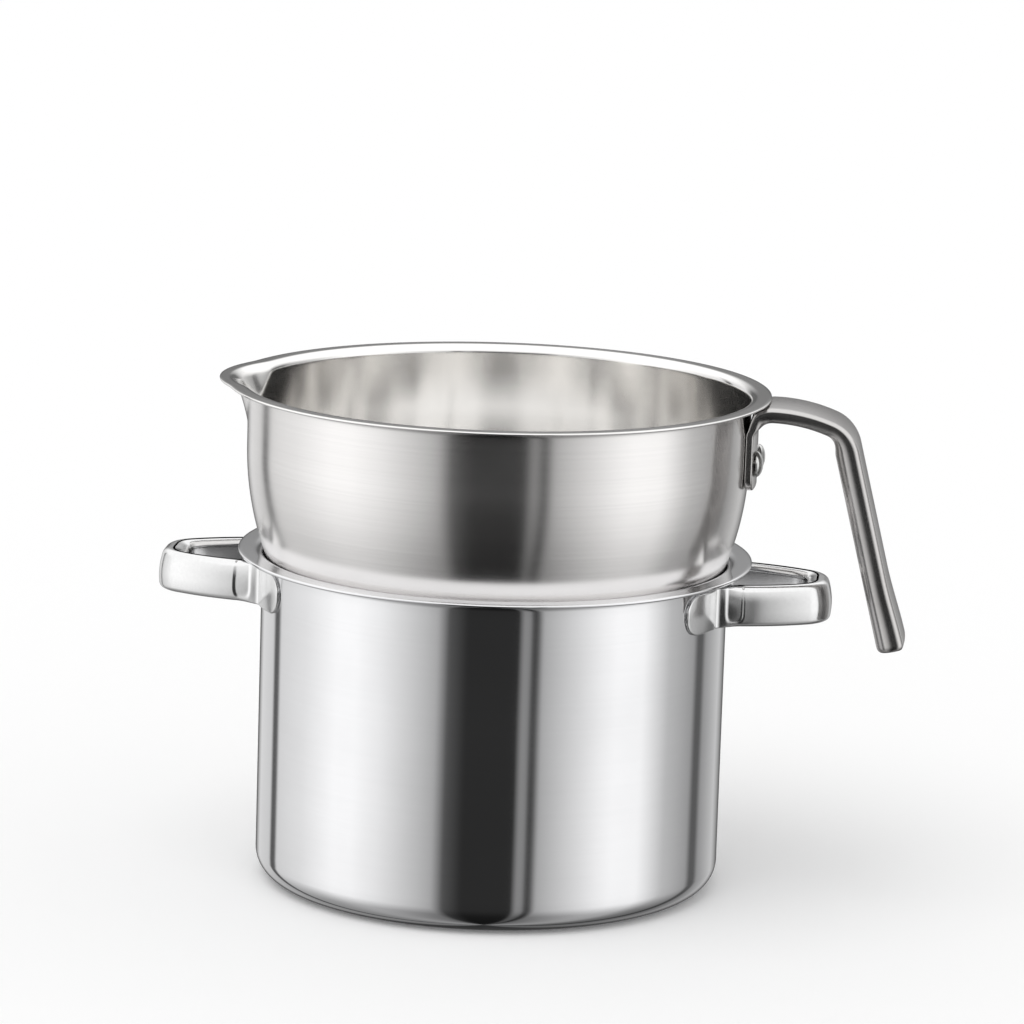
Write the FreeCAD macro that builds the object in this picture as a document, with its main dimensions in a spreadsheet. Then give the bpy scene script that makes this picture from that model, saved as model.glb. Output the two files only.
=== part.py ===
"""A double boiler: a straight-sided pot with two loop handles, and a round bowl with a pouring
spout and a bent strap handle, which sits in the mouth of the pot and lifts straight out.

Millimetres, +Z up. The origin is the centre of the pot's base. The loops lie along X, the bowl's
handle points to +X and its spout to -X.
"""
import FreeCAD, Part
import math
import os
import Sketcher

Vector = FreeCAD.Vector

# The driving dimensions. Lengths are in millimetres, and names that end in angle are in degrees.
SIZES = {
    # pot shell
    "pot_inner_width": 160.0,
    "pot_wall": 1.2,
    "pot_height": 116.0,
    "pot_base_corner": 9.0,
    "pot_flare": 4.0,
    "pot_lip_reach": 8.3,
    # loop handles of the pot
    "loop_reach": 36.5,
    "loop_leg_spacing": 44.0,
    "loop_taper_angle": 18.0,
    "loop_corner": 11.0,
    "loop_height": 14.0,
    "loop_thickness": 6.5,
    "loop_flat": 0.7,
    "loop_below_rim": 3.5,
    "foot_height": 15.5,
    "foot_thickness": 1.8,
    "foot_corner": 6.0,
    "foot_below_rim": 5.0,
    "foot_spread": 88.0,
    # bowl shell
    "bowl_over_mouth": 7.2,
    "bowl_wall": 0.8,
    "bowl_height": 113.0,
    "bowl_straight": 22.6,
    "bowl_base_width": 61.5,
    "bowl_base_corner": 20.0,
    "bowl_flare": 3.0,
    "bowl_lip_reach": 6.8,
    "seat_gap": 0.3,
    # pouring spout of the bowl
    "spout_reach": 5.5,
    "spout_depth": 18.0,
    "spout_radius": 38.0,
    "spout_lip": 5.0,
    # strap handle of the bowl
    "strap_width": 28.0,
    "strap_thickness": 5.6,
    "strap_flat": 0.8,
    "strap_below_lip": 0.4,
    "plate_thickness": 2.7,
    "plate_below_rivets": 9.0,
    "plate_bend": 8.0,
    "arch_radius": 55.0,
    "arch_angle": 22.0,
    "elbow_radius": 12.0,
    "grip_angle": 75.7,
    "grip_length": 70.7,
    "grip_thickness": 8.7,
    "grip_flat": 2.0,
    "grip_growth": 8.0,
    "grip_end_thickness": 9.9,
    "grip_end_flare": 16.0,
    "grip_end_rounding": 1.0,
    # rivets
    "rivet_spacing": 14.0,
    "rivet_below_rim": 22.0,
    "rivet_shank": 5.0,
    "rivet_play": 0.2,
    "rivet_head_width": 9.0,
    "rivet_head_height": 2.4,
    "rivet_inner_width": 8.0,
    "rivet_inner_height": 1.2,
    "rivet_seat_gap": 0.1,
}

doc = FreeCAD.newDocument("DoubleBoiler")
sheet = doc.addObject("Spreadsheet::Sheet", "Sizes")
sheet_names = []


def new_row(name, content):
    """One more row of the sheet: a name, and its number or formula."""
    sheet_names.append(name)
    row = len(sheet_names)
    sheet.set(f"A{row}", name)
    sheet.set(f"B{row}", content)
    sheet.setAlias(f"B{row}", name)


for name, number in SIZES.items():
    new_row(name, str(number))
doc.recompute()


class Size:
    """A length or an angle: its number, and the sheet formula that gives it."""

    def __init__(self, number, formula):
        self.number = number
        self.formula = formula

    def __add__(self, other):
        other = as_size(other)
        return Size(self.number + other.number, f"({self.formula} + {other.formula})")

    def __sub__(self, other):
        other = as_size(other)
        return Size(self.number - other.number, f"({self.formula} - {other.formula})")

    def __mul__(self, other):
        other = as_size(other)
        return Size(self.number * other.number, f"({self.formula} * {other.formula})")

    def __truediv__(self, other):
        other = as_size(other)
        return Size(self.number / other.number, f"({self.formula} / {other.formula})")

    def __neg__(self):
        return Size(-self.number, f"(0 - {self.formula})")


def as_size(value):
    """A plain number becomes a size with a constant formula."""
    return value if isinstance(value, Size) else Size(float(value), str(float(value)))


def size(name):
    """The size that a cell of the sheet holds."""
    return Size(float(sheet.get(name)), f"Sizes.{name}")


def derived(name, value):
    """A size that follows from others, kept in the sheet under its own name."""
    new_row(name, "=" + value.formula.replace("Sizes.", ""))
    doc.recompute()
    return size(name)


def sine(angle):
    return Size(math.sin(math.radians(angle.number)), f"sin({angle.formula})")


def cosine(angle):
    return Size(math.cos(math.radians(angle.number)), f"cos({angle.formula})")


def root(value):
    return Size(math.sqrt(value.number), f"sqrt({value.formula})")


def smaller(first, second):
    return Size(min(first.number, second.number), f"min({first.formula}; {second.formula})")


def bind(thing, path, value):
    """Ties one property of a feature to the sheet."""
    thing.setExpression(path, as_size(value).formula)


def new_body(label, height=0):
    """An empty body, raised to its height above the pot's base."""
    body = doc.addObject("PartDesign::Body", label)
    body.Label = label
    bind(body, "Placement.Base.z", height)
    return body


def origin_plane(body, role):
    return [feature for feature in body.Origin.OriginFeatures if feature.Role == role][0]


def tie_corner(sketch, edge, end, x, y):
    """Holds one end of an edge at x, y of the sketch."""
    for kind, axis, value in (("DistanceX", -2, x), ("DistanceY", -1, y)):
        if value.formula == "0.0":
            sketch.addConstraint(Sketcher.Constraint("PointOnObject", edge, end, axis))
            continue
        index = sketch.addConstraint(Sketcher.Constraint(kind, -1, 1, edge, end, value.number))
        bind(sketch, f"Constraints[{index}]", value)


def arc_between(start, stop, radius, turn):
    """The arc of less than half a circle from start to stop, turning left (+1) or right (-1)."""
    chord = stop - start
    rise = math.sqrt(radius ** 2 - chord.Length ** 2 / 4)
    centre = (start + stop) / 2 + Vector(-chord.y, chord.x, 0) / chord.Length * rise * turn
    first, last = (start, stop) if turn > 0 else (stop, start)
    begin = math.atan2(first.y - centre.y, first.x - centre.x)
    finish = math.atan2(last.y - centre.y, last.x - centre.x)
    if finish < begin:
        finish += 2 * math.pi
    return Part.ArcOfCircle(Part.Circle(centre, Vector(0, 0, 1), radius), begin, finish)


def outline(body, name, role, corners, closed=True):
    """A sketch of lines and arcs through corners, in one of the body's own origin planes.

    A corner is (x, y), or (x, y, radius, turn) where an arc leads to it from the corner before:
    to the first corner, from the last. Each corner and each radius is tied to the sheet.
    """
    sketch = body.newObject("Sketcher::SketchObject", name)
    sketch.AttachmentSupport = (origin_plane(body, role), "")
    sketch.MapMode = "FlatFace"
    corners = [tuple(as_size(value) for value in corner) for corner in corners]
    points = [Vector(corner[0].number, corner[1].number, 0) for corner in corners]
    if closed:
        corners.append(corners[0])
        points.append(points[0])
    ends = []
    for corner, start, stop in zip(corners[1:], points, points[1:]):
        if len(corner) == 2:
            edge = sketch.addGeometry(Part.LineSegment(start, stop), False)
            ends.append((edge, 1, 2))
            continue
        radius, turn = corner[2], corner[3].number
        edge = sketch.addGeometry(arc_between(start, stop, radius.number, turn), False)
        ends.append((edge, 1, 2) if turn > 0 else (edge, 2, 1))
        index = sketch.addConstraint(Sketcher.Constraint("Radius", edge, radius.number))
        bind(sketch, f"Constraints[{index}]", radius)
    joins = list(zip(ends, ends[1:]))
    if closed:
        joins.append((ends[-1], ends[0]))
    for before, after in joins:
        sketch.addConstraint(Sketcher.Constraint("Coincident", before[0], before[2], after[0], after[1]))
    for (edge, start, stop), corner in zip(ends, corners):
        tie_corner(sketch, edge, start, corner[0], corner[1])
    if not closed:
        tie_corner(sketch, ends[-1][0], ends[-1][2], corners[-1][0], corners[-1][1])
    return sketch


def rectangle(left, right, bottom, top):
    return [(left, bottom), (right, bottom), (right, top), (left, top)]


def rounded_rectangle(left, right, bottom, top, rounding):
    """Corners of a rectangle with rounded corners, anticlockwise."""
    return [
        (left + rounding, bottom, rounding, 1),
        (right - rounding, bottom),
        (right, bottom + rounding, rounding, 1),
        (right, top - rounding),
        (right - rounding, top, rounding, 1),
        (left + rounding, top),
        (left, top - rounding, rounding, 1),
        (left, bottom + rounding),
    ]


def turned(body, kind, name, sketch, axis="V_Axis"):
    """A full turn of a sketch about one of its axes: a Revolution or a Groove."""
    feature = body.newObject(f"PartDesign::{kind}", name)
    feature.Profile = sketch
    feature.ReferenceAxis = (sketch, [axis])
    feature.Angle = 360.0
    sketch.Visibility = False
    return feature


def swept(body, name, section, path):
    """A section carried along a path."""
    feature = body.newObject("PartDesign::AdditivePipe", name)
    feature.Profile = section
    feature.Spine = (path, [])
    return feature


def rounded_edges(body, name, base, radius, wanted):
    """Rounds the edges of the base feature that the test picks."""
    doc.recompute()
    names = [f"Edge{i}" for i, edge in enumerate(base.Shape.Edges, start=1) if wanted(edge)]
    feature = body.newObject("PartDesign::Fillet", name)
    feature.Base = (base, names)
    bind(feature, "Radius", radius)
    return feature


# Radii that several pieces share. The bowl is wider than the pot's mouth, so that it rests on it.
pot_inner = derived("pot_inner", size("pot_inner_width") / 2)
pot_outer = derived("pot_outer", pot_inner + size("pot_wall"))
bowl_outer = derived("bowl_outer", pot_inner + size("bowl_over_mouth"))
bowl_inner = derived("bowl_inner", bowl_outer - size("bowl_wall"))
bowl_lip = derived("bowl_lip", bowl_outer + size("bowl_lip_reach"))

# The belly is the one arc that runs smoothly from the straight wall into the corner of the base.
base_corner = size("bowl_base_corner")
base_inset = derived("base_inset", bowl_outer - size("bowl_base_width") / 2)
base_drop = derived("base_drop", size("bowl_height") - base_corner - size("bowl_straight"))
bowl_belly = derived("bowl_belly", (base_inset * base_inset + base_drop * base_drop - base_corner * base_corner)
                     / ((base_inset - base_corner) * 2))

# The belly rests on the flare of the pot's mouth: two arcs that touch, less the gap.
seat_reach = derived("seat_reach", bowl_belly + size("pot_flare") + size("seat_gap"))
seat_across = derived("seat_across", bowl_belly + size("pot_flare") - size("bowl_over_mouth"))
seat_rise = root(seat_reach * seat_reach - seat_across * seat_across)
bowl_rim = derived("bowl_rim", size("pot_height") - size("pot_flare") + seat_rise + size("bowl_straight"))


def pot_shell():
    """Drawn from one sheet: flat base, rounded corner, straight wall and a wide turned-out lip."""
    body = new_body("pot_shell")
    wall = size("pot_wall")
    corner = size("pot_base_corner")
    flare = size("pot_flare")
    top = size("pot_height")
    lip = pot_outer + size("pot_lip_reach")
    edge = wall / 2
    profile = outline(body, "PotProfile", "XZ_Plane", [
        (0, 0),
        (pot_outer - corner, 0),
        (pot_outer, corner, corner, 1),
        (pot_outer, top - flare),
        (pot_inner + flare, top - wall, flare - wall, -1),
        (lip - edge, top - wall),
        (lip, top - edge, edge, 1),
        (lip - edge, top, edge, 1),
        (pot_inner + flare, top),
        (pot_inner, top - flare, flare, 1),
        (pot_inner, corner),
        (pot_outer - corner, wall, corner - wall, -1),
        (0, wall),
    ])
    turned(body, "Revolution", "PotWall", profile)
    return body


def loop_handle(label, half_turn):
    """One strap bent to a loop whose legs draw together, with its ends welded flat to the wall as feet.

    The corners of the loop leave the bar between them a straight run of half the strap's thickness.
    """
    body = new_body(label, size("pot_height"))
    body.Placement.Rotation = FreeCAD.Rotation(Vector(0, 0, 1), half_turn)
    foot_face = pot_outer + size("foot_thickness")
    foot_top = -size("foot_below_rim")
    foot_bottom = foot_top - size("foot_height")
    band = outline(body, "FeetSection", "XZ_Plane", rectangle(pot_outer, foot_face, foot_bottom, foot_top))
    feet = turned(body, "Revolution", "Feet", band)
    feet.Midplane = True
    bind(feet, "Angle", size("foot_spread") / pot_outer * (180 / math.pi))
    rounded_edges(body, "FeetCorners", feet, size("foot_corner"),
                  lambda edge: abs(edge.Length - size("foot_thickness").number) < 0.001)
    between = outline(body, "BetweenSection", "XZ_Plane", rectangle(
        pot_inner, foot_face + 1, foot_bottom, foot_top))
    gap = turned(body, "Groove", "BetweenFeet", between)
    gap.Midplane = True
    bind(gap, "Angle", size("loop_leg_spacing") / pot_outer * (180 / math.pi))

    thickness = size("loop_thickness")
    leg = size("loop_leg_spacing") / 2
    taper = size("loop_taper_angle")
    slope = sine(taper) / cosine(taper)
    wall = root(pot_outer * pot_outer - leg * leg)
    across = pot_outer + size("loop_reach") - thickness / 2
    on_axis = leg + wall * slope
    bar_end = leg - (across - wall) * slope
    turn_share = (as_size(1) - sine(taper)) / cosine(taper)
    corner = smaller(size("loop_corner"), (bar_end - thickness / 4) / turn_share)
    turn = corner * turn_share
    turn_x = across - turn * cosine(taper)
    turn_y = bar_end + turn * sine(taper)
    top = -size("loop_below_rim")
    bottom = top - size("loop_height")
    path = outline(body, "LoopPath", "XY_Plane", [
        (0, on_axis),
        (turn_x, turn_y),
        (across, bar_end - turn, corner, -1),
        (across, turn - bar_end),
        (turn_x, -turn_y, corner, -1),
        (0, -on_axis),
    ], closed=False)
    bind(path, "AttachmentOffset.Base.z", (top + bottom) / 2)
    section = outline(body, "LoopSection", "YZ_Plane", rounded_rectangle(
        -thickness / 2, thickness / 2, bottom, top, (thickness - size("loop_flat")) / 2))
    section.AttachmentOffset = FreeCAD.Placement(Vector(), FreeCAD.Rotation(Vector(0, -1, 0), 1))
    bind(section, "AttachmentOffset.Rotation.Angle", taper)
    bind(section, "AttachmentOffset.Base.x", on_axis)
    swept(body, "LoopStrap", section, path)
    inside = outline(body, "PotInside", "XZ_Plane", rectangle(0, pot_outer, bottom * 2, -bottom))
    turned(body, "Groove", "PotTrim", inside)
    return body


def spout_cylinder(body, kind, name, radius, height):
    """A leaning cylinder: its outermost line leaves the wall at the spout's depth and reaches the tip."""
    reach = size("spout_reach")
    depth = size("spout_depth")
    slant = root(reach * reach + depth * depth)
    sideways = reach / slant
    upwards = depth / slant
    below = size("spout_radius")
    feature = body.newObject(f"PartDesign::{kind}Cylinder", name)
    feature.Placement.Rotation = FreeCAD.Rotation(Vector(0, -1, 0), 1)
    bind(feature, "Placement.Rotation.Angle", Size(
        math.degrees(math.atan2(reach.number, depth.number)), f"atan({reach.formula} / {depth.formula})"))
    bind(feature, "Placement.Base.x", size("spout_radius") * upwards + below * sideways - bowl_outer - reach)
    bind(feature, "Placement.Base.z", size("spout_radius") * sideways - below * upwards)
    bind(feature, "Radius", radius)
    bind(feature, "Height", below + height)
    return feature


def rivet_holes(body):
    """Two holes along X for the rivets, through the wall on the handle's side."""
    for side in (-1, 1):
        hole = body.newObject("PartDesign::SubtractiveCylinder", "RivetHole")
        hole.Placement.Rotation = FreeCAD.Rotation(Vector(0, 1, 0), 90)
        bind(hole, "Placement.Base.x", bowl_outer / 2)
        bind(hole, "Placement.Base.y", size("rivet_spacing") / 2 * side)
        bind(hole, "Placement.Base.z", -size("rivet_below_rim"))
        bind(hole, "Radius", (size("rivet_shank") + size("rivet_play")) / 2)
        bind(hole, "Height", bowl_outer / 2 + size("strap_thickness"))


def belly_corners(wall):
    """Half the bowl's outline from the axis up to the flare, a wall's thickness in from the outside."""
    base = -size("bowl_height")
    start = -size("bowl_straight")
    corner_middle = size("bowl_base_width") / 2
    belly_middle = bowl_outer - bowl_belly
    share = (bowl_belly - wall) / (bowl_belly - base_corner)
    join = belly_middle + (corner_middle - belly_middle) * share
    return [
        (0, base + wall),
        (corner_middle, base + wall),
        (join, start - base_drop * share, base_corner - wall, 1),
        (bowl_outer - wall, start, bowl_belly - wall, 1),
        (bowl_outer - wall, -size("bowl_flare")),
    ]


def bowl_shell():
    """Spun from one sheet: round belly on a small flat base, turned-out lip, spout pressed in the rim."""
    body = new_body("bowl_shell", bowl_rim)
    wall = size("bowl_wall")
    flare = size("bowl_flare")
    edge = wall / 2
    outside = outline(body, "BowlOutside", "XZ_Plane", belly_corners(as_size(0)) + [
        (bowl_inner + flare, -wall, flare - wall, -1),
        (bowl_lip - edge, -wall),
        (bowl_lip, -edge, edge, 1),
        (bowl_lip - edge, 0, edge, 1),
        (0, 0),
    ])
    turned(body, "Revolution", "BowlSolid", outside)

    spout_cylinder(body, "Additive", "SpoutOutside", size("spout_radius"), as_size(0))
    top = body.newObject("PartDesign::SubtractiveBox", "RimPlane")
    bind(top, "Placement.Base.x", -bowl_lip)
    bind(top, "Placement.Base.y", -bowl_lip)
    bind(top, "Length", bowl_lip * 2)
    bind(top, "Width", bowl_lip * 2)
    bind(top, "Height", bowl_lip)
    lip = body.newObject("PartDesign::AdditiveCylinder", "SpoutLip")
    bind(lip, "Placement.Base.x", size("spout_radius") - bowl_outer - size("spout_reach"))
    bind(lip, "Placement.Base.z", -wall)
    bind(lip, "Radius", size("spout_radius") + size("spout_lip"))
    bind(lip, "Height", wall)

    inside = outline(body, "BowlInside", "XZ_Plane", belly_corners(wall) + [
        (bowl_inner + flare, 0, flare, -1),
        (0, 0),
    ])
    turned(body, "Groove", "BowlHollow", inside)
    spout_cylinder(body, "Subtractive", "SpoutInside", size("spout_radius") - wall, flare)
    rivet_holes(body)
    return body


def bowl_handle():
    """A flattened strap: a plate against the bowl's wall, an arch out from the rim and a hanging grip."""
    body = new_body("bowl_handle", bowl_rim)
    thickness = size("strap_thickness")
    half = size("strap_width") / 2
    plate = derived("plate", bowl_outer + size("plate_thickness") - thickness / 2)
    bottom = -(size("rivet_below_rim") + size("plate_below_rivets"))
    bend = size("plate_bend")
    crown = -(size("bowl_wall") + size("strap_below_lip") + thickness / 2)
    arch = size("arch_radius")
    elbow = size("elbow_radius")
    arch_angle = size("arch_angle")
    grip_angle = size("grip_angle")
    arch_x = plate + bend + arch * sine(arch_angle)
    arch_z = crown - arch * (as_size(1) - cosine(arch_angle))
    elbow_x = arch_x + elbow * (sine(grip_angle) - sine(arch_angle))
    elbow_z = arch_z - elbow * (cosine(arch_angle) - cosine(grip_angle))
    path = outline(body, "StrapPath", "XZ_Plane", [
        (plate, bottom),
        (plate, crown - bend),
        (plate + bend, crown, bend, -1),
        (arch_x, arch_z, arch, -1),
        (elbow_x, elbow_z, elbow, -1),
    ], closed=False)
    section = outline(body, "StrapSection", "XY_Plane", rounded_rectangle(
        plate - thickness / 2, plate + thickness / 2, -half, half, (thickness - size("strap_flat")) / 2))
    bind(section, "AttachmentOffset.Base.z", bottom)
    swept(body, "Strap", section, path)

    def across_grip(name, way, thick, flat):
        """The section at a way below the elbow. What it is thicker than the strap lies on the bowl's side."""
        sketch = outline(body, name, "XY_Plane", rounded_rectangle(
            thickness / 2 - thick, thickness / 2, -half, half, (thick - flat) / 2))
        sketch.AttachmentOffset = FreeCAD.Placement(Vector(), FreeCAD.Rotation(Vector(0, -1, 0), 1))
        bind(sketch, "AttachmentOffset.Rotation.Angle", as_size(90) - grip_angle)
        bind(sketch, "AttachmentOffset.Base.x", elbow_x + way * cosine(grip_angle))
        bind(sketch, "AttachmentOffset.Base.z", elbow_z - way * sine(grip_angle))
        return sketch

    length = size("grip_length")
    grip = body.newObject("PartDesign::AdditiveLoft", "Grip")
    grip.Profile = across_grip("GripStart", as_size(0), thickness, size("strap_flat"))
    grip.Sections = [
        across_grip("GripFull", size("grip_growth"), size("grip_thickness"), size("grip_flat")),
        across_grip("GripFlare", length - size("grip_end_flare"), size("grip_thickness"), size("grip_flat")),
        across_grip("GripTip", length, size("grip_end_thickness"), size("grip_flat")),
    ]
    grip.Ruled = True
    inside = outline(body, "BowlInside", "XZ_Plane", rectangle(0, bowl_outer, bottom * 2, size("bowl_flare")))
    trim = turned(body, "Groove", "BowlTrim", inside)
    lowest = elbow_z.number - length.number * 0.9
    rounded_edges(body, "GripEnd", trim, size("grip_end_rounding"),
                  lambda edge: edge.BoundBox.ZMax < lowest)
    rivet_holes(body)
    return body


def rivet(label, side):
    """A domed head outside, a shank through the handle and the wall, and a low head set to the wall inside."""
    body = new_body(label, bowl_rim)
    away = size("rivet_spacing") / 2
    seat = bowl_inner - size("rivet_seat_gap")
    wall_inside = root(bowl_inner * bowl_inner - away * away)
    plate_face = bowl_outer + size("plate_thickness")
    shank = size("rivet_shank") / 2
    head = size("rivet_head_width") / 2
    head_height = size("rivet_head_height")
    inner = size("rivet_inner_width") / 2
    inner_height = size("rivet_inner_height")

    def section(name, corners):
        sketch = outline(body, name, "XY_Plane", corners)
        bind(sketch, "AttachmentOffset.Base.y", away * side)
        bind(sketch, "AttachmentOffset.Base.z", -size("rivet_below_rim"))
        return sketch

    low_dome = section("InnerHeadSection", [
        (wall_inside - inner_height, 0, (inner * inner / inner_height + inner_height) / 2, 1),
        (plate_face, 0),
        (plate_face, inner),
        (wall_inside, inner),
    ])
    turned(body, "Revolution", "InnerHead", low_dome, "H_Axis")
    depth = -size("rivet_below_rim")
    outside = outline(body, "WallSection", "XZ_Plane", rectangle(
        seat, plate_face * 2, depth - inner * 2, depth + inner * 2))
    turned(body, "Groove", "InnerHeadSeat", outside)
    shank_and_dome = section("ShankSection", [
        (wall_inside - inner_height / 2, 0),
        (plate_face + head_height, 0),
        (plate_face, head, (head * head / head_height + head_height) / 2, 1),
        (plate_face, shank),
        (wall_inside - inner_height / 2, shank),
    ])
    turned(body, "Revolution", "ShankAndHead", shank_and_dome, "H_Axis")
    return body


pieces = [
    pot_shell(),
    loop_handle("pot_handle_right", 0),
    loop_handle("pot_handle_left", 180),
    bowl_shell(),
    bowl_handle(),
    rivet("bowl_rivet_front", -1),
    rivet("bowl_rivet_back", 1),
]
doc.recompute()

# Nothing is written unless every feature and every piece came out whole.
for feature in doc.Objects:
    if "Invalid" in feature.State or "Error" in feature.State:
        raise RuntimeError(f"{feature.Name} failed: {feature.State}")
for piece in pieces:
    if piece.Shape.isNull() or not piece.Shape.isValid() or len(piece.Shape.Solids) != 1:
        raise RuntimeError(f"{piece.Label} is not one whole solid")
os.makedirs("parts", exist_ok=True)
for piece in pieces:
    piece.Shape.exportStep(f"parts/{piece.Label}.step")
    box = piece.Shape.BoundBox
    print(f"{piece.Label}: {piece.Shape.Volume / 1000:.2f} cm3, "
          f"x {box.XMin:.1f} {box.XMax:.1f}, y {box.YMin:.1f} {box.YMax:.1f}, z {box.ZMin:.1f} {box.ZMax:.1f}")
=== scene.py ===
"""Dresses the double boiler: polished pot, loop handles, spouted bowl, strap handle and rivets.

Shapes are worked out in millimetres in the part's own frame and go into the meshes in metres.
"""
import math

import bpy
import numpy as np
from mathutils import Matrix, Vector


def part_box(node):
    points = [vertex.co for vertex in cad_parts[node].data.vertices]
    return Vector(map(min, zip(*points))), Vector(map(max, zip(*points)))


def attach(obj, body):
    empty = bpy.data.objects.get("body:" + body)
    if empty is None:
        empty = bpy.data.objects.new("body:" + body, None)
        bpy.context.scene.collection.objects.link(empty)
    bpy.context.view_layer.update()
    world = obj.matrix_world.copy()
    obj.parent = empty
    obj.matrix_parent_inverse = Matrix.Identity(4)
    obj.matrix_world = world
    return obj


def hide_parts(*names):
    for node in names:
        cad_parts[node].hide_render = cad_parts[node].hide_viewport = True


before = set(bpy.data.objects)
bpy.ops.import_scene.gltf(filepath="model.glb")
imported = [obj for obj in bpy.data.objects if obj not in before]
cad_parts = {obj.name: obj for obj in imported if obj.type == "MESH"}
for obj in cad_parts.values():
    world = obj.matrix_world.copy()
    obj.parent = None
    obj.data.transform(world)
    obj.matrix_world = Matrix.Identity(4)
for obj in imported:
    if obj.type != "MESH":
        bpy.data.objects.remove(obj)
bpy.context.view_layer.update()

# Pot shell
# One disc of 1.2 mm stainless steel, drawn to a straight-sided cup with a rounded base corner. Its
# mouth is flared and rolled out flat to a wide lip. It is polished outside and satin inside.
millimetre = 0.001
pot_wall = 1.2
pot_edge = pot_wall / 2
pot_inner = 80.0
pot_outer = pot_inner + pot_wall
pot_height = 116.0
pot_corner = 9.0
pot_flare = 4.0
pot_lip = 89.5
pot_columns = 288


def arc(centre, radius, start, stop, count):
    """Points of a circle in the radius-height plane: centre plus radius times cosine and sine."""
    angle = np.radians(np.linspace(start, stop, count))
    return np.array(centre) + radius * np.column_stack((np.cos(angle), np.sin(angle)))


def run(start, stop, count):
    """Points between start and stop on a straight line, with neither end."""
    share = np.linspace(0, 1, count + 2)[1:-1, None]
    return (1 - share) * np.array(start) + share * np.array(stop)


def turned(profile, columns):
    """A profile of radius and height carried round Z: radius times cosine and sine, and height."""
    angle = np.linspace(0, 2 * math.pi, columns, endpoint=False)
    radius = profile[:, 0, None]
    height = np.broadcast_to(profile[:, 1, None], (len(profile), columns))
    return np.stack((radius * np.cos(angle), radius * np.sin(angle), height), axis=-1)


def skin(name, grid, *materials):
    """A closed mesh over a grid in millimetres, whose rows run along the piece and columns round it.

    Each point joins the next in its row and its own column of the next row, and the last column
    joins the first. The first and last rows shrink to one point each, which closes both ends. The
    UV map holds the way along the rows in metres and the share of the way round.
    """
    rows, columns = grid.shape[:2]
    grid = grid * millimetre
    points = np.vstack((grid[0].mean(axis=0), grid[1:-1].reshape(-1, 3), grid[-1].mean(axis=0)))
    here = np.arange(columns)
    after = (here + 1) % columns
    ring = 1 + np.arange(rows - 3)[:, None] * columns
    quads = np.stack((ring + here, ring + after, ring + columns + after, ring + columns + here), axis=-1)
    end = len(points) - 1
    first_fan = np.column_stack((0 * here, 1 + after, 1 + here))
    last_fan = np.column_stack((end - columns + here, end - columns + after, 0 * here + end))
    faces = quads.reshape(-1, 4).tolist() + first_fan.tolist() + last_fan.tolist()
    mesh = bpy.data.meshes.new(name)
    mesh.from_pydata(points.tolist(), [], faces)
    mesh.polygons.foreach_set("use_smooth", np.ones(len(mesh.polygons), dtype=bool))

    steps = np.linalg.norm(np.diff(grid, axis=0), axis=2).mean(axis=1)
    along = np.concatenate(([0.0], np.cumsum(steps)))
    one = np.ones((rows - 3, columns))
    low, high = along[1:-2, None] * one, along[2:-1, None] * one
    left, right = here / columns * one, (here + 1) / columns * one
    quad_uv = np.stack((low, left, low, right, high, right, high, left), axis=-1)
    left, right = left[0], right[0]
    middle = (left + right) / 2
    flat = np.ones(columns)
    first_uv = np.column_stack((along[0] * flat, middle, along[1] * flat, right, along[1] * flat, left))
    last_uv = np.column_stack((along[-2] * flat, left, along[-2] * flat, right, along[-1] * flat, middle))
    layer = mesh.uv_layers.new(name="surface")
    layer.data.foreach_set("uv", np.concatenate((quad_uv.ravel(), first_uv.ravel(), last_uv.ravel())))

    piece = bpy.data.objects.new(name, mesh)
    bpy.context.scene.collection.objects.link(piece)
    for material in materials:
        mesh.materials.append(material)
    return piece


def on_inside(piece, rows, outside_rows, columns):
    """Gives the faces beyond the outside rows of a turned piece its second material.

    The faces come as skin makes them: row by row, then the fan of the first row and that of the last.
    """
    face_row = np.concatenate((np.repeat(np.arange(1, rows - 2), columns), np.zeros(columns),
                               np.full(columns, rows)))
    piece.data.polygons.foreach_set("material_index", (face_row >= outside_rows - 1).astype(np.int32))


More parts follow.
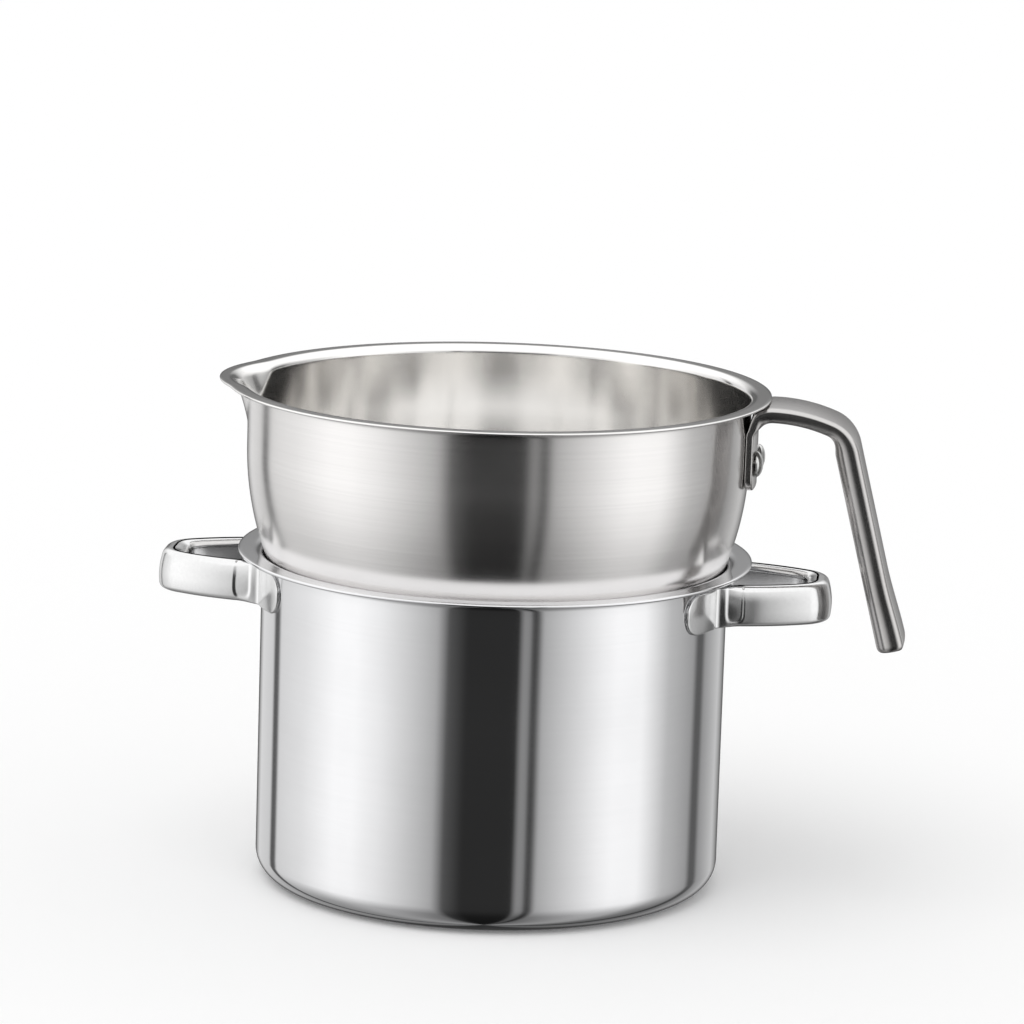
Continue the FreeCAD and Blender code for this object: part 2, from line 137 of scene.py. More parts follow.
def steel(name, tone, roughness, grain, grain_depth, brushed=0.0, lined=0.5, dent=0.0001):
    """Stainless steel with a grain of fine lines, cloudy polish and slightly uneven sheet.

    The lines are noise that changes fast along the piece and slowly round it: grain holds how fast,
    per metre along the UV map and per metre across. They tint, roughen and raise the surface a
    little, by grain_depth in metres, and lined is their share of the tint. A slow noise clouds the
    polish, and a slower one dents the sheet by parts of a millimetre. Brushed, from 0 to 1, is how
    much more the steel blurs what it mirrors across its lines than along them.
    """
    darkest = 0.95
    lightest = 1.03
    quarter_turn = 0.25
    noise_low = 0.3
    noise_high = 0.7
    material = bpy.data.materials.new(name)
    material.use_nodes = True
    nodes, links = material.node_tree.nodes, material.node_tree.links
    shader = nodes["Principled BSDF"]
    shader.inputs["Metallic"].default_value = 1.0
    shader.inputs["Anisotropic"].default_value = brushed
    shader.inputs["Anisotropic Rotation"].default_value = quarter_turn
    place = nodes.new("ShaderNodeTexCoord")

    def noise(vector, scale, detail):
        """Cloud noise at a place."""
        texture = nodes.new("ShaderNodeTexNoise")
        texture.inputs["Scale"].default_value = scale
        texture.inputs["Detail"].default_value = detail
        links.new(vector, texture.inputs["Vector"])
        return texture.outputs["Fac"]

    def ranged(value, low, high):
        """The usual spread of a noise, drawn out from low to high."""
        spread = nodes.new("ShaderNodeMapRange")
        spread.inputs["From Min"].default_value = noise_low
        spread.inputs["From Max"].default_value = noise_high
        spread.inputs["To Min"].default_value = low
        spread.inputs["To Max"].default_value = high
        links.new(value, spread.inputs["Value"])
        return spread.outputs["Result"]

    def total(first, second):
        """The sum of two values."""
        adding = nodes.new("ShaderNodeMath")
        adding.operation = "ADD"
        links.new(first, adding.inputs[0])
        links.new(second, adding.inputs[1])
        return adding.outputs["Value"]

    across = nodes.new("ShaderNodeVectorMath")
    across.operation = "SCALE"
    across.inputs["Scale"].default_value = grain[1]
    links.new(place.outputs["Object"], across.inputs[0])
    along = nodes.new("ShaderNodeVectorMath")
    along.operation = "MULTIPLY"
    along.inputs[1].default_value = (grain[0], 0.0, 0.0)
    links.new(place.outputs["UV"], along.inputs[0])
    both = nodes.new("ShaderNodeVectorMath")
    both.operation = "ADD"
    links.new(across.outputs["Vector"], both.inputs[0])
    links.new(along.outputs["Vector"], both.inputs[1])
    lines = noise(both.outputs["Vector"], scale=1.0, detail=3.0)
    clouds = noise(place.outputs["Object"], scale=22.0, detail=4.0)
    sheet = noise(place.outputs["Object"], scale=11.0, detail=1.0)

    tint = nodes.new("ShaderNodeMix")
    tint.data_type = "RGBA"
    tint.inputs["A"].default_value = (*(darkest * value for value in tone), 1.0)
    tint.inputs["B"].default_value = (*(lightest * value for value in tone), 1.0)
    lightness = total(ranged(lines, 0.0, lined), ranged(clouds, 0.0, 1 - lined))
    links.new(lightness, tint.inputs["Factor"])
    links.new(tint.outputs["Result"], shader.inputs["Base Color"])
    line_rough = ranged(lines, 0.95 * roughness, 1.05 * roughness)
    cloud_rough = ranged(clouds, -0.1 * roughness, 0.15 * roughness)
    links.new(total(line_rough, cloud_rough), shader.inputs["Roughness"])

    dents = nodes.new("ShaderNodeBump")
    dents.inputs["Distance"].default_value = dent
    links.new(sheet, dents.inputs["Height"])
    scratches = nodes.new("ShaderNodeBump")
    scratches.inputs["Distance"].default_value = grain_depth
    links.new(lines, scratches.inputs["Height"])
    links.new(dents.outputs["Normal"], scratches.inputs["Normal"])
    links.new(scratches.outputs["Normal"], shader.inputs["Normal"])
    return material


pot_outside = np.vstack((
    [(0, 0)],
    run((0, 0), (pot_outer - pot_corner, 0), 14),
    arc((pot_outer - pot_corner, pot_corner), pot_corner, -90, 0, 16),
    run((pot_outer, pot_corner), (pot_outer, pot_height - pot_flare), 40),
    arc((pot_inner + pot_flare, pot_height - pot_flare), pot_flare - pot_wall, 180, 90, 12),
    run((pot_inner + pot_flare, pot_height - pot_wall), (pot_lip - pot_edge, pot_height - pot_wall), 5),
    arc((pot_lip - pot_edge, pot_height - pot_edge), pot_edge, -90, 90, 12),
    run((pot_lip - pot_edge, pot_height), (pot_inner + pot_flare, pot_height), 5),
    arc((pot_inner + pot_flare, pot_height - pot_flare), pot_flare, 90, 180, 14),
))
pot_inside = np.vstack((
    run((pot_inner, pot_height - pot_flare), (pot_inner, pot_corner), 40),
    arc((pot_outer - pot_corner, pot_corner), pot_corner - pot_wall, 0, -90, 16),
    run((pot_outer - pot_corner, pot_wall), (0, pot_wall), 14),
    [(0, pot_wall)],
))
pot_polish = steel("pot polish", tone=(0.84, 0.84, 0.85), roughness=0.07,
                   grain=(2600.0, 9.0), grain_depth=1.5e-7, lined=0.2)
pot_satin = steel("pot satin", tone=(0.9, 0.9, 0.9), roughness=0.34,
                  grain=(2000.0, 9.0), grain_depth=2e-7, brushed=0.8)
pot_profile = np.vstack((pot_outside, pot_inside))
pot = skin("pot_body", turned(pot_profile, pot_columns), pot_polish, pot_satin)
on_inside(pot, len(pot_profile), len(pot_outside), pot_columns)
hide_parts("pot_shell")
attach(pot, "pot")

# Loop handles of the pot
# Each is one length of thick, rounded steel strap bent to a flat loop. Near the wall its ends are
# pressed flat, turned outwards and spot-welded to the pot as two round-ended feet. Both are alike.
loop_reach = 117.7
loop_leg = 22.0
leg_lean_at_wall = 6.0
leg_lean_at_bar = 30.0
loop_bend = 14.0
loop_high = 14.0
loop_middle = 105.5
loop_thick = 6.5
loop_outer_edge = 1.7
loop_inner_edge = 2.8
loop_lean = 1.8
lean_below_middle = 0.35
bar_swell = 3.0
swell_fades_over = 20.0
pressed_from = -8.0
pressed_to = 1.0
thinned_from = -2.5
thinned_to = 1.5
lowered_within = 6.0
shield_place = -5.0
shield_half = 3.2
shield_depth = 0.35
shield_rim = 0.8
shield_rounds_from = 0.1
shield_rounds_over = 0.95
foot_middle = 104.7
foot_thick = 1.8
foot_end = 44.0 / pot_outer
foot_bend = 2.2
foot_edge = 0.5
foot_slope = 1.2
foot_level_at = 0.4
foot_eases_in = 1.0
foot_dome = 0.35
foot_tip_fall = 0.995


def along_heading(start, lengths, headings, step):
    """A path in a plane: the heading changes evenly over each length, and its steps are added up.

    Gives the way along, the points and the headings in radians.
    """
    knots = np.concatenate(([0.0], np.cumsum(lengths)))
    way = np.linspace(0, knots[-1], int(knots[-1] / step))
    heading = np.radians(np.interp(way, knots, headings))
    halfway = np.radians(np.interp((way[1:] + way[:-1]) / 2, knots, headings))
    steps = np.diff(way)[:, None] * np.column_stack((np.cos(halfway), np.sin(halfway)))
    return way, np.array(start) + np.vstack(((0, 0), np.cumsum(steps, axis=0))), heading


def eased(value, low, high):
    """0 below low and 1 above high, with a smooth rise between: 3 t squared less 2 t cubed."""
    share = np.clip((value - low) / (high - low), 0, 1)
    return share * share * (3 - 2 * share)


def section(corner_steps, across_steps, up_steps):
    """A rounded rectangle, anticlockwise: the angle on its corner, and the share of each half side.

    A point lies at the share times the half side less the corner's radius, plus the corner's radius
    times the cosine or sine of the angle.
    """
    quarter = np.linspace(0, math.pi / 2, corner_steps)
    level = np.linspace(1, -1, across_steps + 2)[1:-1]
    upright = np.linspace(1, -1, up_steps + 2)[1:-1]
    corners = ((1, 1), (-1, 1), (-1, -1), (1, -1))
    flats = (level, upright, -level, -upright)
    angle, across, up = [], [], []
    for turn, (side, top) in enumerate(corners):
        flat = flats[turn]
        is_level = turn % 2 == 0
        angle += [quarter + turn * math.pi / 2, np.full(len(flat), (turn + 1) * math.pi / 2)]
        across += [np.full(corner_steps, side), flat if is_level else np.full(len(flat), side)]
        up += [np.full(corner_steps, top), np.full(len(flat), top) if is_level else flat]
    return np.concatenate(angle), np.concatenate(across), np.concatenate(up)


def loop_grid(half_turn):
    """The strap carried along the loop, from one foot to the other.

    The path of the outer face is worked out from the middle of the loop to one foot and mirrored: half
    the bar, a corner arc, a leg that is one slow arc, a sharp bend and the foot on the wall. The outer
    face leans back towards the top as an arc, and the bar is thicker on its inside. A shallow shield
    with a round lower end is pressed into the leg beside the bend, where the strap thins to the foot.
    The foot thins towards its end, which is half an ellipse.
    """
    most_of_height = 0.45
    most_of_thickness = 0.48
    foot_face = pot_outer + foot_thick
    root, tail = math.radians(leg_lean_at_wall), math.radians(leg_lean_at_bar)
    wall_x = math.sqrt(pot_outer ** 2 - loop_leg ** 2)
    out_of_line = loop_leg * math.cos(root) + wall_x * math.sin(root) + loop_thick / 2 + foot_bend
    meets = math.asin(out_of_line / (foot_face + foot_bend)) - root
    centre = (foot_face + foot_bend) * np.array((math.cos(meets), math.sin(meets)))
    leg_foot = centre - foot_bend * np.array((math.sin(root), math.cos(root)))
    leg_x = loop_reach - loop_bend * (1 - math.sin(tail)) - leg_foot[0]
    leg_radius = leg_x / (math.sin(tail) - math.sin(root))
    bar_half = leg_foot[1] - loop_bend * math.cos(tail) - leg_radius * (math.cos(root) - math.cos(tail))
    lengths = (bar_half, loop_bend * (math.pi / 2 - tail), leg_radius * (tail - root),
               foot_bend * (math.pi / 2 - root - meets), foot_face * (foot_end - meets))
    headings = (90, 90, 180 - leg_lean_at_bar, 180 - leg_lean_at_wall,
                90 + math.degrees(meets), 90 + math.degrees(foot_end))
    way, points, heading = along_heading((loop_reach, 0), lengths, headings, step=0.4)
    pinch = sum(lengths[:3])
    foot_start = sum(lengths[:4])
    stop = way[-1]

    way = np.concatenate((-way[:0:-1], way))
    points = np.concatenate((points[:0:-1], points))
    heading = np.concatenate((heading[:0:-1], heading))
    mirror = np.where(way < 0, -1, 1)
    points[:, 1] *= mirror
    inwards = np.column_stack((-np.sin(heading), np.cos(heading) * mirror))

    angle, across, up = section(corner_steps=9, across_steps=5, up_steps=25)
    outer = across < 0
    far = np.abs(way)[:, None]
    tip = np.clip((far - stop + loop_high / 2) / (loop_high / 2), 0, 1)
    high = loop_high * np.sqrt(1 - foot_tip_fall * tip ** 2)
    lowered = eased(far, pinch - lowered_within, pinch + lowered_within)
    middle = loop_middle + (foot_middle - loop_middle) * lowered
    pressed = eased(far, pinch + pressed_from, pinch + pressed_to)
    swell = bar_swell * (1 - eased(far, bar_half, bar_half + swell_fades_over))
    free_corner = np.where(outer, loop_outer_edge, loop_inner_edge + swell / 2)
    corner = np.minimum(free_corner + (foot_edge - free_corner) * pressed, most_of_height * high)
    height = up * (high / 2 - corner) + corner * np.sin(angle)
    share = height / (high / 2)

    on_foot = np.clip((far - foot_start) / (stop - foot_start), 0, 1)
    settled = eased(far, foot_start - foot_eases_in, foot_start + foot_eases_in)
    sink = foot_slope * (on_foot - foot_level_at) * settled
    thinned = eased(far, pinch + thinned_from, pinch + thinned_to)
    thick = loop_thick + swell + (foot_thick - sink - loop_thick) * thinned
    round_off = np.minimum(corner, most_of_thickness * thick)
    inset = sink + thick / 2 + across * (thick / 2 - round_off) + round_off * np.cos(angle)
    lean_share = (share + lean_below_middle) / (1 + lean_below_middle)
    lean = loop_lean * lean_share ** 2 * (1 - pressed)
    beside = (far - pinch - shield_place) / shield_half
    below = np.maximum(shield_rounds_from - share, 0) / shield_rounds_over
    from_shield = np.sqrt(np.hypot(beside ** 2, below ** 2))
    shield = shield_depth * (1 - eased(from_shield, shield_rim, 1.0))
    domed = eased(far, foot_start - foot_eases_in, foot_start + 2 * foot_eases_in)
    dome = foot_dome * share ** 2 * domed
    inset = inset + np.where(outer, lean + shield + dome, 0)
    grid = np.empty((len(way), len(angle), 3))
    grid[..., 0] = points[:, 0, None] + inwards[:, 0, None] * inset
    grid[..., 1] = points[:, 1, None] + inwards[:, 1, None] * inset
    grid[..., 2] = middle + height
    grid[..., :2] *= half_turn
    return grid


loop_polish = steel("loop polish", tone=(0.84, 0.84, 0.84), roughness=0.17,
                    grain=(120.0, 900.0), grain_depth=6e-7)
for name, half_turn in (("right", 1), ("left", -1)):
    loop = skin(f"loop_{name}", loop_grid(half_turn), loop_polish)
    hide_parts(f"pot_handle_{name}")
    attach(loop, "pot")

# Bowl shell
# One disc of 0.8 mm stainless steel, spun to a round belly on a small flat base, with a turned-out
# lip and a pouring spout pressed into the rim. It is brushed round its axis: satin outside and
# polished inside.
bowl_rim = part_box("bowl_shell")[1][2] / millimetre
bowl_outer = 87.2
bowl_wall = 0.8
bowl_height = 113.0
bowl_straight = 22.6
bowl_base = 30.75
bowl_corner = 20.0
bowl_flare = 3.0
bowl_lip = 94.0
bowl_columns = 360
spout_reach = 5.5
spout_depth = 20.0
spout_power = 1.5
spout_radius = 38.0
spout_softness = 0.25
spout_lip = 5.0
spout_ends_from = 0.5
spout_ends_to = 0.8


def bowl_profile():
    """Radius and depth below the rim: base, corner arc, belly arc, wall, flare and lip, then back inside.

    The belly is the one arc that meets the wall and the corner arc smoothly.
    """
    inset = bowl_outer - bowl_base
    drop = bowl_height - bowl_corner - bowl_straight
    belly = (inset ** 2 + drop ** 2 - bowl_corner ** 2) / (2 * (inset - bowl_corner))
    middle = (bowl_outer - belly, -bowl_straight)
    corner = (bowl_base, bowl_corner - bowl_height)
    lean = math.degrees(math.atan2(-drop, bowl_base - middle[0]))
    inner = bowl_outer - bowl_wall
    flare = (inner + bowl_flare, -bowl_flare)
    edge = bowl_wall / 2
    outside = np.vstack((
        [(0, -bowl_height)],
        run((0, -bowl_height), (bowl_base, -bowl_height), 8),
        arc(corner, bowl_corner, -90, lean, 14),
        arc(middle, belly, lean, 0, 60)[1:],
        run((bowl_outer, -bowl_straight), (bowl_outer, -bowl_flare), 22),
        arc(flare, bowl_flare - bowl_wall, 180, 90, 10),
        run((flare[0], -bowl_wall), (bowl_lip - edge, -bowl_wall), 4),
        arc((bowl_lip - edge, -edge), edge, -90, 0, 5),
    ))
    inside = np.vstack((
        arc((bowl_lip - edge, -edge), edge, 0, 90, 5)[1:],
        run((bowl_lip - edge, 0), (flare[0], 0), 4),
        arc(flare, bowl_flare, 90, 180, 12),
        run((inner, -bowl_flare), (inner, -bowl_straight), 22),
        arc(middle, belly - bowl_wall, 0, lean, 60),
        arc(corner, bowl_corner - bowl_wall, lean, -90, 14)[1:],
        run((bowl_base, bowl_wall - bowl_height), (0, bowl_wall - bowl_height), 8),
        [(0, bowl_wall - bowl_height)],
    ))
    return np.vstack((outside, inside)), len(outside)


def spouted(grid):
    """Presses the spout at -X: each point moves out by what a nose circle stands beyond the wall.

    The nose circle's reach fades with depth as a power, and with the angle away from the spout. The
    positive part of nose less wall is softened as half of x plus the root of x squared and a small
    square. The lip narrows on the nose.
    """
    facing_nose = 0.3
    no_nose = -40.0
    radius = np.hypot(grid[..., 0], grid[..., 1])
    angle = np.arctan2(grid[..., 1], -grid[..., 0])
    depth = -grid[..., 2]
    reach = spout_reach * np.clip(1 - depth / spout_depth, 0, 1) ** spout_power
    centre = bowl_outer + reach - spout_radius
    chord = np.maximum(spout_radius ** 2 - (centre * np.sin(angle)) ** 2, 0)
    nose = centre * np.cos(angle) + np.sqrt(chord)
    beyond = np.where(np.cos(angle) > facing_nose, nose - bowl_outer, no_nose)
    soft = spout_softness * reach
    near_spout = 1 - eased(np.abs(angle), spout_ends_from, spout_ends_to)
    grow = (beyond + np.sqrt(beyond ** 2 + soft ** 2)) / 2 * near_spout
    overhang = np.maximum(radius - bowl_outer, 0)
    narrowed = overhang * (1 - spout_lip / (bowl_lip - bowl_outer)) * np.clip(grow / spout_reach, 0, 1)
    new = radius + np.where(radius > bowl_outer / 2, grow - narrowed, 0)
    grid[..., 0] *= new / np.maximum(radius, 1e-6)
    grid[..., 1] *= new / np.maximum(radius, 1e-6)
    return grid


profile, outside_rows = bowl_profile()
bowl_grid = spouted(turned(profile, bowl_columns))
bowl_grid[..., 2] += bowl_rim
bowl_satin = steel("bowl satin", tone=(0.87, 0.855, 0.845), roughness=0.2,
                   grain=(2000.0, 7.0), grain_depth=6e-7, brushed=0.8)
bowl_mirror = steel("bowl mirror", tone=(0.92, 0.91, 0.895), roughness=0.12,
                    grain=(2000.0, 9.0), grain_depth=3e-7, brushed=0.8, lined=0.2)
bowl = skin("bowl_body", bowl_grid, bowl_satin, bowl_mirror)
on_inside(bowl, len(profile), outside_rows, bowl_columns)
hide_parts("bowl_shell")
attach(bowl, "bowl")

# Strap handle of the bowl
# A stainless strap with rounded edges. Its plate lies against the bowl's wall under two rivets, the
# strap arches out from the rim, and the grip hangs down clear of the pot's loop.
plate_line = 87.1
plate_foot = 31.0
plate_run = 19.0
plate_thick = 2.7
plate_corner = 5.0
plate_edge = 1.0
plate_edge_fall = 1.6
plate_round = 0.2
bend_radius = 8.0
bend_from = 15.0
bend_to = 60.0
hollow_from = 5.0
hollow_to = 50.0
arch_radius = 55.0
arch_turn = 22.0
strap_wide = 28.0
strap_thick = 5.6
outer_round = 0.22
inner_round = 0.6
strap_crown = 0.06
elbow_radius = 12.0
elbow_turn = 53.7
grip_from = -1.0
grip_to = 11.0
grip_run = 70.7
grip_thick = 8.7
grip_end_thick = 9.9
grip_end_thickens_over = 26.0
grip_end_flare = 1.0
grip_end_flares_over = 18.0
end_round = 2.4
end_edge_fall = 4.4


def quarter_circle(share):
    """The fall of a quarter circle at a share of its radius: 1 less the root of 1 less share squared."""
    return 1 - np.sqrt(1 - np.clip(share, 0, 1) ** 2)


def strap_grid():
    """A rounded rectangle carried along plate, bend, arch, elbow and grip in the XZ plane.

    The side next to the wall gains the strap's full thickness over the bend. The grip is thicker on the
    bowl's side from the elbow on and swells outwards to its end. Past the bend the inner edges are
    rounded far more than the outer ones. The outer face is crowned a little, by the square of the way
    across. The plate is hollowed to the wall: each point moves in by its distance across, squared,
    over twice the radius. Both ends fall off as quarter circles.
    """
    lengths = (plate_run, bend_radius * math.pi / 2, arch_radius * math.radians(arch_turn),
               elbow_radius * math.radians(elbow_turn), grip_run)
    grip_heading = -arch_turn - elbow_turn
    headings = (90, 90, 0, -arch_turn, grip_heading, grip_heading)
    way, points, heading = along_heading((plate_line, -plate_foot), lengths, headings, step=0.5)
    way = way[:, None]
    stop = way[-1, 0]
    elbow = sum(lengths[:3])
    bend = np.degrees(math.pi / 2 - heading)[:, None]
    bent = eased(bend, bend_from, bend_to)
    gripped = eased(way, elbow + grip_from, elbow + grip_to)
    lower = strap_thick / 2 + (grip_thick - strap_thick) * gripped
    upper = plate_thick - strap_thick / 2 + (strap_thick - plate_thick) * bent
    upper = upper + (grip_end_thick - grip_thick) * eased(way, stop - grip_end_thickens_over, stop)
    thick = upper + lower
    wide = strap_wide + grip_end_flare * eased(way, stop - grip_end_flares_over, stop)
    first = quarter_circle(1 - way / plate_corner)
    first_edge = quarter_circle(1 - way / plate_edge)
    last = quarter_circle((way - stop + end_round) / end_round)
    wide = wide - 2 * plate_corner * first - 2 * end_round * last
    rounded = thick - plate_edge_fall * first_edge - end_edge_fall * last
    angle, across, up = section(corner_steps=9, across_steps=12, up_steps=4)
    outer_edge = outer_round * rounded
    inner_edge = (plate_round + (inner_round - plate_round) * bent) * rounded
    corner = np.where(up > 0, outer_edge, inner_edge)
    sideways = across * (wide / 2 - corner) + corner * np.cos(angle)
    from_middle = (inner_edge - outer_edge) / 2 + up * (rounded - inner_edge - outer_edge) / 2
    crown = strap_crown * rounded * (2 * sideways / wide) ** 2 * (1 + up) / 2
    outwards = (upper - lower) / 2 + from_middle + corner * np.sin(angle) - crown
    hollow = sideways ** 2 / (2 * bowl_outer) * (1 - eased(bend, hollow_from, hollow_to))
    grid = np.empty((*sideways.shape, 3))
    grid[..., 0] = points[:, 0, None] - np.sin(heading)[:, None] * outwards - hollow
    grid[..., 1] = sideways
    grid[..., 2] = bowl_rim + points[:, 1, None] + np.cos(heading)[:, None] * outwards
    return grid


strap_polish = steel("strap polish", tone=(0.64, 0.625, 0.615), roughness=0.23,
                     grain=(90.0, 1100.0), grain_depth=8e-7)
strap = skin("strap_handle", strap_grid(), strap_polish)
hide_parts("bowl_handle")
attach(strap, "bowl")

# Rivets of the bowl's handle
# Two stainless rivets, set cold through the strap's plate and the bowl's wall. Each has a domed head
# outside and a low head inside.
rivet_away = 7.0
rivet_depth = 22.0
rivet_columns = 40
low_head_face = 86.5
low_head_high = 1.6
low_head_radius = 4.0
shank_start = 86.6
shank_radius = 2.5
head_face = 89.9
head_step = 0.05
head_rim = 4.4
head_high = 2.4
head_radius = 4.5


def rivet_grid(side):
    """A profile of distance along X and radius, carried round the rivet's own axis.

    Both heads are shallow arcs: half an ellipse of the head's height over the head's radius.
    """
    quarter = np.linspace(0, math.pi / 2, 14)
    low_along = low_head_face - low_head_high * np.cos(quarter)
    low = np.column_stack((low_along, low_head_radius * np.sin(quarter)))
    dome = np.column_stack((head_face + head_high * np.sin(quarter), head_radius * np.cos(quarter)))
    shank_end = head_face - head_step
    shank = np.array(((shank_start, shank_radius), (shank_end, shank_radius), (shank_end, head_rim)))
    outline = np.vstack((low, shank, dome))
    turn = np.linspace(0, 2 * math.pi, rivet_columns, endpoint=False)
    grid = np.empty((len(outline), rivet_columns, 3))
    grid[..., 0] = outline[:, 0, None]
    grid[..., 1] = side * rivet_away + outline[:, 1, None] * np.cos(turn)
    grid[..., 2] = bowl_rim - rivet_depth + outline[:, 1, None] * np.sin(turn)
    return grid


rivet_finish = steel("rivet steel", tone=(0.72, 0.72, 0.71), roughness=0.2,
                     grain=(600.0, 300.0), grain_depth=2e-6, dent=0.00003)
for name, side in (("front", -1), ("back", 1)):
    rivet = skin(f"rivet_{name}", rivet_grid(side), rivet_finish)
    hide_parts(f"bowl_rivet_{name}")
    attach(rivet, "bowl")

# Floor
# A plain pale table top that takes the soft shadow of the pot. Shiny surfaces don't mirror it.
floor_half = 6.0
floor_level = -0.0002
floor_white = 0.97
floor_signs = ((-1, -1), (1, -1), (1, 1), (-1, 1))
floor_corners = [(floor_half * x, floor_half * y, floor_level) for x, y in floor_signs]
floor_mesh = bpy.data.meshes.new("floor")
floor_mesh.from_pydata(floor_corners, [], [(0, 1, 2, 3)])
floor = bpy.data.objects.new("floor", floor_mesh)
bpy.context.scene.collection.objects.link(floor)
floor_paint = bpy.data.materials.new("pale floor")
floor_paint.use_nodes = True
floor_shader = floor_paint.node_tree.nodes["Principled BSDF"]
floor_shader.inputs["Base Color"].default_value = (floor_white, floor_white, floor_white, 1.0)
floor_shader.inputs["Roughness"].default_value = 0.9
floor_shader.inputs["Specular IOR Level"].default_value = 0.0
floor_mesh.materials.append(floor_paint)
floor.visible_glossy = False

# Studio
# White walls all round, with soft boxes to the left and right of the camera and dark cards beside it
# and behind the object. Only shiny surfaces see the boxes and cards; the floor gets even white light.
camera_azimuth = math.radians(5.5)
# A card is a bearing in degrees from the camera's, and a grey.
cards = (
    (-180, 0.12), (-168, 0.14), (-156, 0.8), (-138, 0.74), (-135, 0.12), (-131, 0.12), (-128, 0.8),
    (-105, 0.94), (-82, 1.2), (-70, 1.2), (-56, 1.04), (-34, 0.64), (-27, 0.5), (-21, 0.1),
    (-12, 0.03), (13, 0.03), (15, 0.3), (18, 0.3), (20, 0.06), (22, 0.06), (25, 0.48),
    (39, 0.76), (56, 1.08), (64, 1.18), (80, 1.15), (98, 0.6), (118, 0.38), (122, 0.12), (127, 0.12),
    (131, 0.36), (152, 0.65), (168, 0.14),
)
# A level is a height, from 0 straight down to 1 straight up, and a share.
wall_levels = ((0.0, 0.25), (0.15, 0.4), (0.33, 0.85), (0.42, 1.0))
ceiling_levels = ((0.575, 0.0), (0.72, 1.0))
ceiling_white = 1.15
even_light = 0.8
backdrop_white = 1.0
world = bpy.data.worlds.new("studio")
bpy.context.scene.world = world
world.use_nodes = True
nodes, links = world.node_tree.nodes, world.node_tree.links
nodes.clear()


def studio_math(operation, *values):
    """One arithmetic node; each input is a socket or a number."""
    node = nodes.new("ShaderNodeMath")
    node.operation = operation
    for socket, value in zip(node.inputs, values):
        if isinstance(value, (int, float)):
            socket.default_value = value
        else:
            links.new(value, socket)
    return node.outputs["Value"]


def studio_ramp(position, stops):
    """A scale of greys along a position from 0 to 1."""
    node = nodes.new("ShaderNodeValToRGB")
    scale = node.color_ramp.elements
    scale.remove(scale[1])
    for index, (place, grey) in enumerate(stops):
        element = scale.new(place) if index else scale[0]
        element.position = place
        element.color = (grey, grey, grey, 1.0)
    links.new(position, node.inputs["Fac"])
    return node.outputs["Color"]


def studio_mix(factor, first, second):
    """The first colour at factor 0 and the second at 1; a colour is a socket or the number of a grey."""
    node = nodes.new("ShaderNodeMix")
    node.data_type = "RGBA"
    links.new(factor, node.inputs["Factor"])
    for socket, value in ((node.inputs["A"], first), (node.inputs["B"], second)):
        if isinstance(value, (int, float)):
            socket.default_value = (value, value, value, 1.0)
        else:
            links.new(value, socket)
    return node.outputs["Result"]


looking = nodes.new("ShaderNodeTexCoord")
turn = nodes.new("ShaderNodeVectorRotate")
turn.rotation_type = "Z_AXIS"
turn.inputs["Angle"].default_value = -camera_azimuth
links.new(looking.outputs["Generated"], turn.inputs["Vector"])
split = nodes.new("ShaderNodeSeparateXYZ")
links.new(turn.outputs["Vector"], split.inputs["Vector"])
towards_camera = studio_math("MULTIPLY", split.outputs["Y"], -1.0)
bearing = studio_math("ARCTAN2", split.outputs["X"], towards_camera)
round_room = studio_math("MULTIPLY_ADD", bearing, 0.5 / math.pi, 0.5)
up_room = studio_math("MULTIPLY_ADD", split.outputs["Z"], 0.5, 0.5)
walls = nodes.new("ShaderNodeMix")
walls.data_type = "RGBA"
walls.blend_type = "MULTIPLY"
walls.inputs["Factor"].default_value = 1.0
links.new(studio_ramp(round_room, [((angle + 180) / 360, grey) for angle, grey in cards]), walls.inputs["A"])
links.new(studio_ramp(up_room, wall_levels), walls.inputs["B"])
room = studio_mix(studio_ramp(up_room, ceiling_levels), walls.outputs["Result"], ceiling_white)
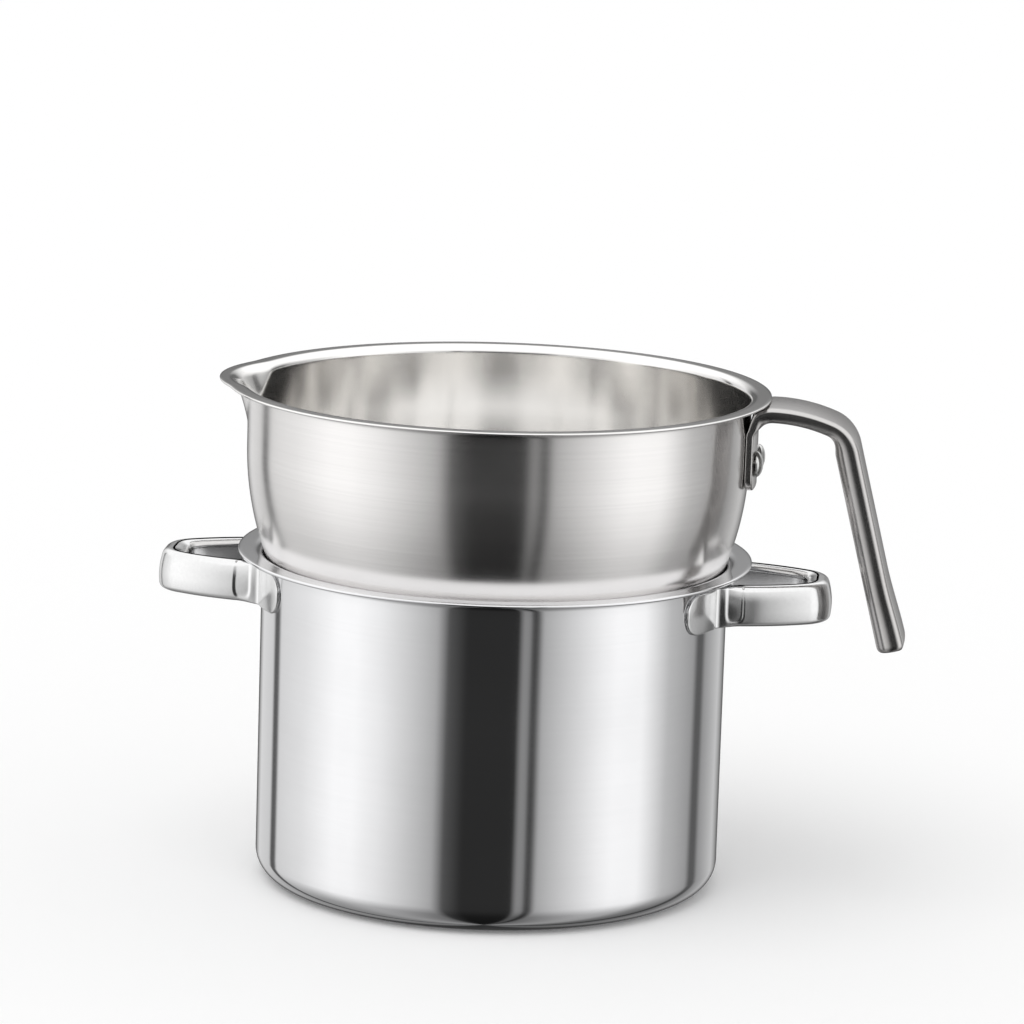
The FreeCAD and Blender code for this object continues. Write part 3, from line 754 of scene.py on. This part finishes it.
rays = nodes.new("ShaderNodeLightPath")
straight = studio_math("MAXIMUM", rays.outputs["Is Camera Ray"], rays.outputs["Is Transmission Ray"])
plain = studio_mix(straight, even_light, backdrop_white)
background = nodes.new("ShaderNodeBackground")
links.new(studio_mix(rays.outputs["Is Glossy Ray"], plain, room), background.inputs["Color"])
output = nodes.new("ShaderNodeOutputWorld")
links.new(background.outputs["Background"], output.inputs["Surface"])

lamp_strength = 0.8
lamp_spread = math.radians(50)
lamp_tilt = (math.radians(20), math.radians(-15), 0)
lamp = bpy.data.lights.new("overhead", "SUN")
lamp.energy = lamp_strength
lamp.angle = lamp_spread
overhead = bpy.data.objects.new("overhead", lamp)
overhead.rotation_euler = lamp_tilt
overhead.visible_glossy = False
bpy.context.scene.collection.objects.link(overhead)

# Camera
# Stands 1.7 m off, a little right of the front and 11.6 degrees above the pot's rim, and is tipped
# a little, as the photograph was. The rim's place is where its middle lies in the picture, in pixels.
view_distance = 1.7
view_height = math.radians(11.6)
view_tip = math.radians(1.8)
picture_side = 1024
pixels_per_metre = 2868.0
rim_place = (495.3, 551.0)
target = Vector((0, 0, pot_height * millimetre))
back = Vector((math.sin(camera_azimuth) * math.cos(view_height),
               -math.cos(camera_azimuth) * math.cos(view_height), math.sin(view_height)))
focal = pixels_per_metre * view_distance
camera_data = bpy.data.cameras.new("camera")
camera_data.sensor_width = 36.0
camera_data.lens = focal * camera_data.sensor_width / picture_side
camera = bpy.data.objects.new("camera", camera_data)
camera.location = target + back * view_distance
tipped = (-back).to_track_quat("-Z", "Y").to_matrix().to_4x4() @ Matrix.Rotation(view_tip, 4, "Z")
sideways = math.atan((rim_place[0] - picture_side / 2) / focal)
upwards = math.atan((picture_side / 2 - rim_place[1]) / focal)
aimed = tipped @ Matrix.Rotation(sideways, 4, "Y") @ Matrix.Rotation(-upwards, 4, "X")
camera.rotation_euler = aimed.to_euler()
bpy.context.scene.collection.objects.link(camera)
bpy.context.scene.camera = camera
bpy.context.scene.view_settings.view_transform = "Standard"
